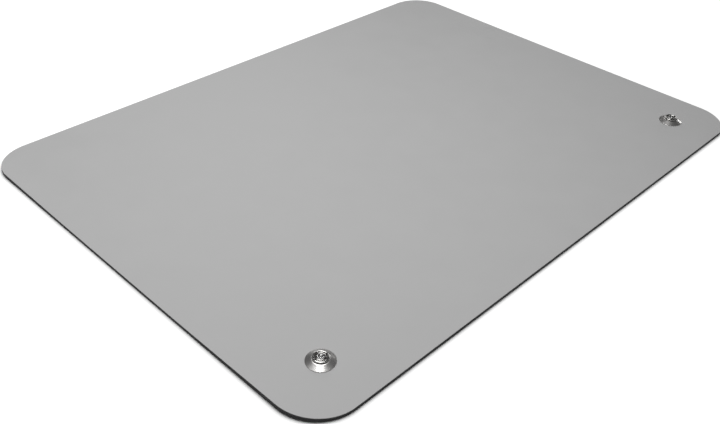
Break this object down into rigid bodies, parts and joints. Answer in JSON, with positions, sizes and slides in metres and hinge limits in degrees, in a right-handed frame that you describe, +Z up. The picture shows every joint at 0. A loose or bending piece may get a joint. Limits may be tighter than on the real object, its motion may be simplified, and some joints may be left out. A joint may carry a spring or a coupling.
{
  "type": "anti static bench mat",
  "caption": "Rectangular two-layer rubber mat with rounded corners, grey on top and black beneath, with press studs along one long side for a ground cord.",
  "frame": {"origin": "middle of the flat underside, on the surface that the mat lies on", "axes": "+Z up through the thickness, +X along the long side, the studs near the long side at -Y"},
  "size_m": [0.6, 0.45, 0.008],
  "materials": {
    "grey_rubber": "matte",
    "black_rubber": "matte",
    "nickel_plate": "gloss",
    "rivet_steel": "gloss"
  },
  "bodies": {
    "root": {"surface_layer": "grey_rubber", "backing_layer": "black_rubber", "cup_washer_left": "nickel_plate", "cup_washer_right": "nickel_plate", "press_stud_left": "nickel_plate", "press_stud_right": "nickel_plate", "rivet_left": "rivet_steel", "rivet_right": "rivet_steel"}
  },
  "joints": []
}
